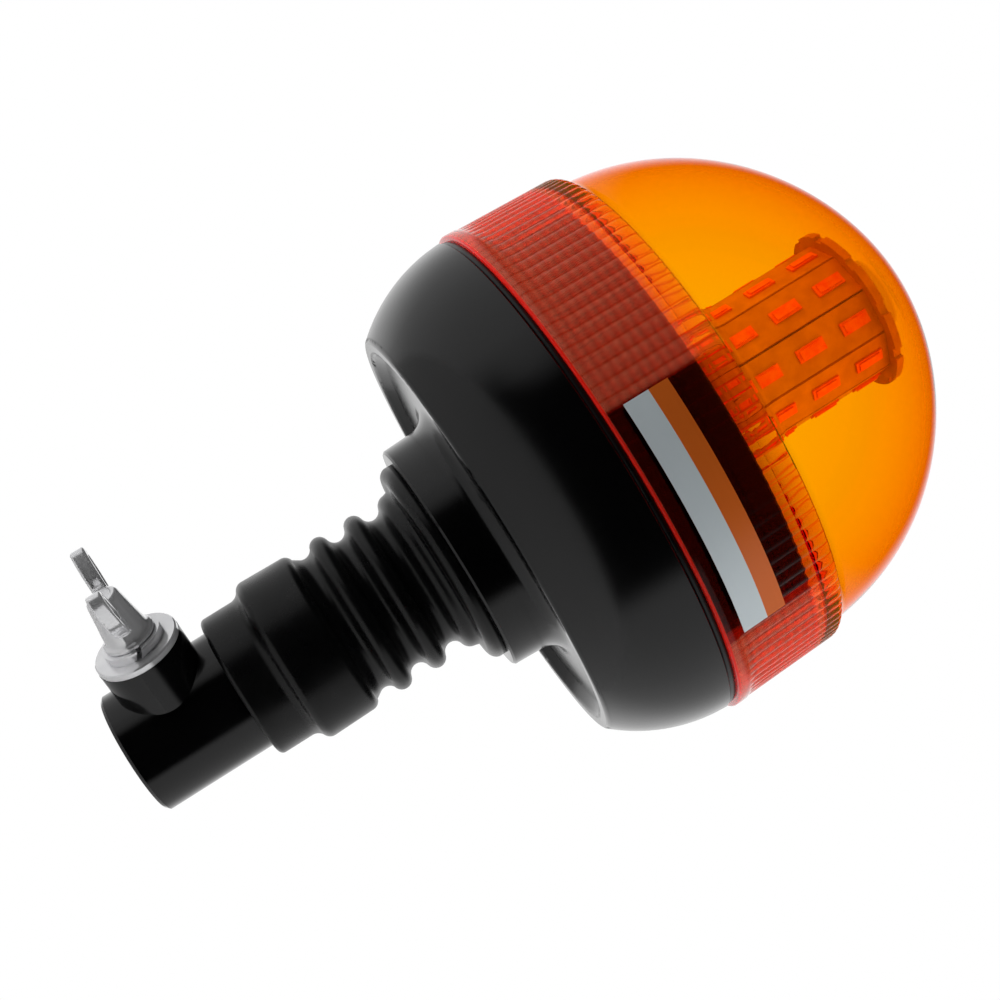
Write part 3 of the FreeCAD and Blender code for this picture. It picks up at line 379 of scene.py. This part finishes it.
def bright_zinc():
    s = Shader("bright_zinc", (0.95, 0.95, 0.96), 0.12, metallic=0.65)
    s.tint(s.noise(160.0, 4.0), (0.90, 0.90, 0.92), (0.98, 0.98, 0.99))
    s.spread(s.noise(260.0), 0.06, 0.14, "Roughness")
    s.bump(s.noise(520.0, 4.0), 0.00006, 0.5)
    return s.material


def screw_steel():
    s = Shader("screw_steel", (0.58, 0.59, 0.61), 0.3, metallic=1.0)
    s.spread(s.noise(300.0, 4.0, (1.0, 1.0, 6.0)), 0.22, 0.4, "Roughness")
    s.bump(s.noise(800.0, 4.0), 0.00003, 0.5)
    return s.material


def brass():
    s = Shader("brass", (0.80, 0.58, 0.24), 0.22, metallic=1.0)
    s.tint(s.noise(200.0), (0.72, 0.50, 0.20), (0.84, 0.64, 0.30))
    s.spread(s.noise(300.0, 4.0, (1.0, 1.0, 8.0)), 0.15, 0.35, "Roughness")
    return s.material


def circuit_board():
    s = Shader("circuit_board", (0.62, 0.27, 0.10), 0.45)
    s.tint(s.noise(220.0, 5.0), (0.54, 0.22, 0.08), (0.70, 0.32, 0.13))
    s.bump(s.noise(900.0, 3.0), 0.00003, 0.5)
    return s.material


def led_package():
    s = Shader("led_package", (1.0, 0.15, 0.05), 0.35)
    s.tint(s.noise(500.0), (0.95, 0.10, 0.03), (1.0, 0.22, 0.08))
    return s.material


def core_aluminium():
    s = Shader("core_aluminium", (0.70, 0.70, 0.72), 0.32, metallic=1.0)
    s.spread(s.noise(260.0, 4.0, (1.0, 1.0, 0.05)), 0.25, 0.42, "Roughness")
    return s.material


def component_black():
    s = Shader("component_black", (0.03, 0.03, 0.033), 0.5)
    s.bump(s.noise(1500.0, 4.0), 0.00003, 0.5)
    return s.material


def terminal_green():
    s = Shader("terminal_green", (0.03, 0.24, 0.09), 0.4)
    s.tint(s.noise(300.0), (0.025, 0.20, 0.075), (0.04, 0.27, 0.11))
    return s.material


def insulation(name, color):
    s = Shader(name, color, 0.38)
    s.bump(s.noise(900.0, 3.0), 0.00003, 0.4)
    return s.material


MATERIALS = {
    "black_paint": black_paint(),
    "zinc": bright_zinc(),
    "screw_steel": screw_steel(),
    "brass": brass(),
    "black_nylon": black_nylon(),
    "black_rubber": black_rubber(),
    "black_housing": black_housing(),
    "amber_lens": amber_lens(),
    "circuit_board": circuit_board(),
    "led": led_package(),
    "core_aluminium": core_aluminium(),
    "component_black": component_black(),
    "terminal_green": terminal_green(),
    "red_insulation": insulation("red_insulation", (0.45, 0.02, 0.015)),
    "black_insulation": insulation("black_insulation", (0.015, 0.015, 0.015)),
}


def dress(obj, slot):
    obj.data.materials.clear()
    obj.data.materials.append(MATERIALS[slot])


def dress_frame():
    """Every CAD node gets its slot's material."""
    slots = {row["node"]: row["material_slot"] for row in frame["record"]["subparts"]}
    for name, obj in frame["nodes"].items():
        dress(obj, slots[name])


# ---------------------------------------------------------------- lens


def dome_points(inset, count):
    """The dome's outline from its foot to its crown, in from the outside by inset."""
    points = []
    for i in range(count + 1):
        turn = DOME_FOOT_ANGLE + (math.pi / 2 - DOME_FOOT_ANGLE) * i / count
        side = (DOME_RADIUS - inset) * math.cos(turn) ** 1.097 if i < count else 0.0
        height = DOME_CENTRE + (DOME_RISE - inset) * math.sin(turn) ** 0.968
        points.append((side, min(height, CROWN_FLAT)))
    return points


def lens_profile():
    """Up the outside from the flange to the crown, and down the inside to the bore's mouth."""
    outside = dome_points(0.0, 52)
    foot_radius, foot_height = outside[0]
    taper, rise = BAND_LOW_RADIUS - BAND_HIGH_RADIUS, BAND_HIGH - BAND_LOW
    band_steps, bore_steps = 10, 12
    profile = [
        (BORE_RADIUS, FLANGE_BOTTOM),
        (FLANGE_RADIUS - 0.3, FLANGE_BOTTOM),
        (FLANGE_RADIUS, FLANGE_BOTTOM + 0.3),
        (FLANGE_RADIUS, 126.3),
        (FLANGE_RADIUS - 0.2, 126.6),
    ]
    profile += [
        (BAND_LOW_RADIUS - taper * i / band_steps, BAND_LOW + rise * i / band_steps)
        for i in range(band_steps + 1)
    ]
    shoulder_end = (foot_radius + 0.25, foot_height - 0.05)
    profile += arc((BAND_HIGH_RADIUS, BAND_HIGH), shoulder_end, 0.62, 8)
    profile += outside + dome_points(DOME_WALL, 40)[::-1]
    profile += [(BORE_RADIUS - 0.3, BORE_TOP + 0.2)]
    bore = BORE_TOP - FLANGE_BOTTOM
    profile += [(BORE_RADIUS, BORE_TOP - bore * i / bore_steps) for i in range(bore_steps)]
    return in_metres(profile)


def make_lens():
    """Flange, fluted band over a smooth bore (its thread is not modelled), rounded shoulder and
    dome, as one moulding.
    """
    low, high = FLUTES_LOW * MM, FLUTES_HIGH * MM

    def relief(radius, height, angles):
        outside_band = radius <= 61.2 * MM or not low < height < high
        if outside_band:
            return np.full(len(angles), radius)
        fade = min(1.0, (height - low) / (1.2 * MM), (high - height) / (1.6 * MM))
        wave = np.abs(np.sin(angles * FLUTES / 2))
        return radius - FLUTE_DEPTH * MM * fade * (1.0 - wave)

    lens = lathe("lens_moulding", lens_profile(), columns=FLUTES * 6, relief=relief)
    dress(lens, "amber_lens")
    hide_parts("lens")
    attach(lens, "lens_cap")


# ---------------------------------------------------------------- wing screw


def make_wing_screw():
    """The wing screw's casting with the soft edges and blended roots of a die casting."""
    cad = frame["nodes"]["wing_bolt"]
    obj = bpy.data.objects.new("wing_screw_casting", cad.data.copy())
    obj.data.transform(cad.matrix_world)
    bpy.context.scene.collection.objects.link(obj)
    remesh = obj.modifiers.new("even", "REMESH")
    remesh.mode = "VOXEL"
    remesh.voxel_size = 0.28 * MM
    soften = obj.modifiers.new("soften", "SMOOTH")
    soften.factor, soften.iterations = 0.6, 9
    shape = obj.evaluated_get(bpy.context.evaluated_depsgraph_get())
    mesh = bpy.data.meshes.new_from_object(shape)
    obj.modifiers.clear()
    obj.data = mesh
    mesh.shade_smooth()
    dress(obj, "zinc")
    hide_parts("wing_bolt")
    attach(obj, "clamp_screw")


# ---------------------------------------------------------------- contact spring


def press_spring():
    """The contact's spring gets a mesh of its own; its shortening by the plunger's travel, up
    against its seat, is not done here.
    """
    spring, travel = frame["nodes"]["contact_spring"], 2.6 * MM
    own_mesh(spring)


# ---------------------------------------------------------------- housing thread


def make_collar_thread():
    """The coarse thread on the housing's collar: one rounded ridge that climbs the wall."""
    collar, start, pitch, turns = 60.3, 127.5, 3.0, 5.6
    steps, fade_steps = 144, 12
    section = [(-0.9, -0.08), (-0.35, 0.26), (0.35, 0.26), (0.9, -0.08)]
    vertices, faces = [], []
    rows = int(steps * turns)
    for i in range(rows + 1):
        angle = 2 * math.pi * i / steps
        rise = start + pitch * i / steps
        fade = min(1.0, i / fade_steps, (rows - i) / fade_steps)
        for along, out in section:
            radius, height = (collar + out * fade) * MM, (rise + along) * MM
            vertices.append((radius * math.cos(angle), radius * math.sin(angle), height))
    width = len(section)
    for i in range(rows):
        for k in range(width):
            nxt = (k + 1) % width
            a, b = i * width, (i + 1) * width
            faces.append((a + k, b + k, b + nxt, a + nxt))
    faces.append(tuple(range(width)))
    faces.append(tuple(rows * width + k for k in reversed(range(width))))
    thread = mesh_object("collar_thread", vertices, faces)
    dress(thread, "black_housing")
    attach(thread, "head")


# ---------------------------------------------------------------- stem


def boot_profile():
    """The stem's section in mm: cuff, sleeve, bellows, neck bead, and back down the bore."""
    wave_radius, wave_half, wave_bulge = 18.85, 4.7, 1.85
    waves = [
        (wave_radius, 58.95 + wave_half * i, wave_bulge if i % 2 == 0 else -wave_bulge)
        for i in range(4)
    ]
    corners = [
        (15.35, 28.5),
        (17.3, 28.5, 0.25),
        (18.2, 29.7),
        (18.2, 37.0, -0.35),
        (19.6, 39.3, 0.35),
        (21.0, 41.3),
        (20.75, 52.0, 0.45),
        (19.1, 54.2),
        (18.0, 55.9, -0.6),
        *waves,
        (wave_radius, 77.75, 0.45),
        (20.7, 80.1),
        (21.0, 81.2, -0.15),
        (23.4, 81.7, 0.6),
        (26.0, 83.7),
        (26.0, 85.3),
        (24.1, 85.3),
        (24.1, 82.7),
        (12.2, 82.7),
        (12.2, 80.3),
        (13.2, 78.9),
        (13.2, 57.4),
        (15.35, 55.0),
    ]
    return refine(path(corners, 10), 1.2)


def make_boot():
    """The rubber stem, as a mesh fine enough to bend."""
    boot = lathe("rubber_stem", in_metres(boot_profile()), columns=160)
    dress(boot, "black_rubber")
    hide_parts("stem_boot")
    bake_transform(boot)


def make_leads():
    """Insulated leads, fine enough to bend with the stem."""
    for name, slot in (("supply_lead", "red_insulation"), ("earth_lead", "black_insulation")):
        low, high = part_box(name)
        radius, length = (high[0] - low[0]) / 2, high[2] - low[2]
        rings = math.ceil(length / (2 * MM))
        profile = [(0.0, low[2])]
        profile += [(radius, low[2] + length * i / rings) for i in range(rings + 1)]
        profile += [(0.0, high[2])]
        lead = lathe(f"{name}_wire", profile, columns=16, close=False)
        lead.data.transform(Matrix.Translation(((high[0] + low[0]) / 2, 0, 0)))
        dress(lead, slot)
        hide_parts(name)
        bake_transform(lead)


# ---------------------------------------------------------------- label


def label_material():
    """Blank two-tone strip: pale film with an orange band along its upper side."""
    pale, orange = (0.66, 0.73, 0.76), (0.70, 0.14, 0.015)
    s = Shader("label_film", pale, 0.35)
    above = s.maths("GREATER_THAN", s.axes(s.place())["Z"], LABEL_SPLIT * MM)
    s.link(s.blend(above, pale, orange), s.shader.inputs["Base Color"])
    return s.material


def make_label():
    """A thin blank film round part of the band."""
    first = math.radians(LABEL_MIDDLE - LABEL_HALF_ANGLE)
    last = math.radians(LABEL_MIDDLE + LABEL_HALF_ANGLE)
    steps, rows = 96, 8
    taper = (BAND_LOW_RADIUS - BAND_HIGH_RADIUS) / (BAND_HIGH - BAND_LOW)
    inner, outer = 64.86, 65.0
    vertices = []
    for radius in (inner, outer):
        for i in range(rows + 1):
            height = LABEL_LOW + (LABEL_HIGH - LABEL_LOW) * i / rows
            here = (radius - taper * (height - BAND_LOW)) * MM
            for j in range(steps + 1):
                angle = first + (last - first) * j / steps
                vertices.append((here * math.cos(angle), here * math.sin(angle), height * MM))
    per_row, per_side = steps + 1, (rows + 1) * (steps + 1)
    faces = []
    for i in range(rows):
        for j in range(steps):
            a = i * per_row + j
            b = a + per_row
            faces.append((per_side + a, per_side + a + 1, per_side + b + 1, per_side + b))
            faces.append((b, b + 1, a + 1, a))
    border = (
        list(range(steps))
        + [i * per_row + steps for i in range(rows)]
        + [rows * per_row + j for j in range(steps, 0, -1)]
        + [i * per_row for i in range(rows, 0, -1)]
    )
    for a, b in zip(border, border[1:] + border[:1]):
        faces.append((a, b, b + per_side, a + per_side))
    label = mesh_object("blank_label", vertices, faces, smooth=False)
    label.data.materials.append(label_material())
    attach(label, "lens_cap")


# ---------------------------------------------------------------- studio


def camera_axes():
    """The camera's right, up and back directions in the part's frame."""
    azimuth, tilt, slope = math.radians(238.0), math.radians(6.16), math.radians(31.9)
    axis = Vector((0, 0, 1))
    toward = Vector((math.cos(azimuth), math.sin(azimuth), 0))
    side = axis.cross(toward)
    right = (
        axis * (math.cos(slope) * math.cos(tilt))
        + side * math.sin(slope)
        + toward * (math.cos(slope) * math.sin(tilt))
    )
    up = (
        axis * (math.sin(slope) * math.cos(tilt))
        - side * math.cos(slope)
        + toward * (math.sin(slope) * math.sin(tilt))
    )
    return right, up, right.cross(up)


def make_camera():
    """Looks along the photograph's direction, with the socket's mouth low on the left."""
    mouth_right, mouth_down, mouth_ahead = -0.0845, 0.0588, 0.4047
    right, up, back = camera_axes()
    place = -(right * mouth_right - up * mouth_down - back * mouth_ahead)
    camera = bpy.data.objects.new("camera", bpy.data.cameras.new("camera"))
    bpy.context.scene.collection.objects.link(camera)
    rotation = Matrix((right, up, back)).transposed().to_4x4()
    camera.matrix_world = Matrix.Translation(place) @ rotation
    camera.data.sensor_width = 36.0
    camera.data.lens = 62.98
    camera.data.clip_start = 0.01
    bpy.context.scene.camera = camera
    return right, up, back


def area_light(name, place, target, size, power):
    """A square soft light that aims at target and isn't itself reflected."""
    data = bpy.data.lights.new(name, "AREA")
    data.size = size
    data.energy = power
    light = bpy.data.objects.new(name, data)
    bpy.context.scene.collection.objects.link(light)
    light.location = place
    light.visible_glossy = False
    light.visible_transmission = False
    light.rotation_euler = (place - target).to_track_quat("Z", "Y").to_euler()


def make_world(right, up, back):
    """White behind the object and to its sides, dark where the camera stands, as in a tent."""
    world = bpy.data.worlds.new("studio")
    bpy.context.scene.world = world
    world.use_nodes = True
    nodes, links = world.node_tree.nodes, world.node_tree.links
    background = nodes["Background"]
    place = nodes.new("ShaderNodeTexCoord")

    def panel(direction, start, full, level):
        """Light of one side of the tent: nothing at the start cosine, its level at full."""
        facing = nodes.new("ShaderNodeVectorMath")
        facing.operation = "DOT_PRODUCT"
        facing.inputs[1].default_value = direction.normalized()
        links.new(place.outputs["Generated"], facing.inputs[0])
        ramp = nodes.new("ShaderNodeMapRange")
        ramp.interpolation_type = "SMOOTHSTEP"
        ramp.inputs["From Min"].default_value = start
        ramp.inputs["From Max"].default_value = full
        ramp.inputs["To Max"].default_value = level
        links.new(facing.outputs["Value"], ramp.inputs["Value"])
        return ramp.outputs["Result"]

    def combine(operation, *values):
        total = values[0]
        for value in values[1:]:
            node = nodes.new("ShaderNodeMath")
            node.operation = operation
            links.new(total, node.inputs[0])
            links.new(value, node.inputs[1])
            total = node.outputs["Value"]
        return total

    under = right * 0.528 - up * 0.849
    socket_side = right * -0.844 - up * 0.525
    below_dome = panel(socket_side, -0.35, -0.1, 1.0)
    backdrop = panel(socket_side * 0.4 - back, 0.55, 0.9, 1.0)
    strips = combine(
        "MAXIMUM",
        panel(under * 0.94 - back * 0.34, 0.48, 0.66, 0.6),
        panel(under * -0.94 - back * 0.34, 0.4, 0.75, 0.6),
        panel(back * 0.31 - under * 0.95, 0.82, 0.97, 0.5),
    )
    tent = combine("MAXIMUM", backdrop, combine("MULTIPLY", strips, below_dome))
    rays = nodes.new("ShaderNodeLightPath").outputs
    behind = combine("MULTIPLY", rays["Is Glossy Ray"], backdrop)
    seen = combine("MAXIMUM", rays["Is Camera Ray"], rays["Is Transmission Ray"], behind)
    mix = nodes.new("ShaderNodeMix")
    mix.data_type = "FLOAT"
    links.new(seen, mix.inputs["Factor"])
    links.new(tent, mix.inputs["A"])
    mix.inputs["B"].default_value = 1.0
    links.new(mix.outputs["Result"], background.inputs["Strength"])
    background.inputs["Color"].default_value = (1.0, 1.0, 1.0, 1.0)


def floor_material():
    """White floor that keeps the object's shadow near it and runs into the backdrop further out."""
    s = Shader("floor_white", (0.93, 0.93, 0.93), 0.9)
    s.tint(s.noise(3.0), (0.92, 0.92, 0.92), (0.94, 0.94, 0.94))
    fade = s.ramp(s.vector("LENGTH", s.place(), output="Value"), 0.18, 0.45, 0.85, 1.0)
    seen = s.node("ShaderNodeLightPath").outputs["Is Camera Ray"]
    glow = s.node("ShaderNodeEmission").outputs["Emission"]
    s.swap_surface(s.maths("MULTIPLY", seen, fade), glow)
    return s.material


def make_floor():
    """A round floor, 0.2 m under the socket's mouth."""
    drop, reach, sides = 0.20, 0.5, 96
    turns = [2 * math.pi * i / sides for i in range(sides)]
    corners = [(reach * math.cos(a), reach * math.sin(a), 0.0) for a in turns]
    floor = mesh_object("floor", corners, [tuple(range(sides))])
    floor.location.z = -drop
    floor.data.materials.append(floor_material())


def make_studio():
    right, up, back = make_camera()
    make_world(right, up, back)
    make_floor()
    middle = Vector((0, 0, 0.12))
    area_light("key", middle - right * 0.7 + up * 0.8 + back * 0.3, middle, 0.6, 6.0)
    area_light("fill", middle + right * 0.8 - up * 0.5 + back * 0.2, middle, 0.6, 5.0)
    area_light("top", Vector((0, 0, 1.3)), middle, 0.9, 6.0)
    scene = bpy.context.scene
    scene.view_settings.view_transform = "Standard"
    # Light is caught many times between the flutes before it leaves the moulding.
    scene.cycles.glossy_bounces = 12
    scene.cycles.transmission_bounces = 16
    scene.cycles.max_bounces = 20


dress_frame()
make_lens()
make_wing_screw()
press_spring()
make_collar_thread()
make_boot()
make_leads()
make_label()
make_studio()
